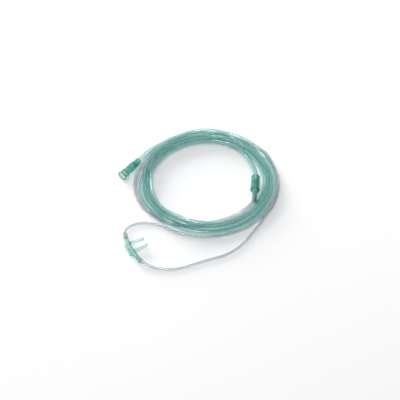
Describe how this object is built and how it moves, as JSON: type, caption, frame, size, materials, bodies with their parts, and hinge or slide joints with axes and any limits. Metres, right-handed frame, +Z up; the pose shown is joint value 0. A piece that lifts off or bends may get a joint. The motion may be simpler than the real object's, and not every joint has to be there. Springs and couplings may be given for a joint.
{
  "type": "nasal oxygen cannula",
  "caption": "Coiled green oxygen tube with a flared socket connector, a moulded junction, two thin clear headset tubes and a soft nose piece with curved prongs",
  "frame": {"origin": "under the middle of the box around the nose piece, the socket connector and the junction, on the floor that everything lies on", "axes": "+Z up, +X and +Y along the floor, with the nose piece at -X -Y, the prongs pointing towards +X and the connector's mouth at -X"},
  "size_m": [0.1968, 0.227, 0.0124],
  "materials": {
    "supply_vinyl": "clear soft vinyl tube with a green tint, glossy",
    "moulded_vinyl": "moulded translucent green vinyl, glossy",
    "soft_vinyl": "soft dipped vinyl, translucent teal, satin gloss",
    "clear_vinyl": "clear untinted vinyl tube, glossy"
  },
  "bodies": {
    "root": {"supply_coil": "supply_vinyl", "supply_lead": "supply_vinyl", "supply_tail": "supply_vinyl", "socket_connector": "moulded_vinyl", "tube_junction": "moulded_vinyl", "nose_piece": "soft_vinyl", "headset_stub_a": "clear_vinyl", "headset_stub_b": "clear_vinyl", "headset_tube_a": "clear_vinyl", "headset_tube_b": "clear_vinyl"}
  },
  "joints": []
}
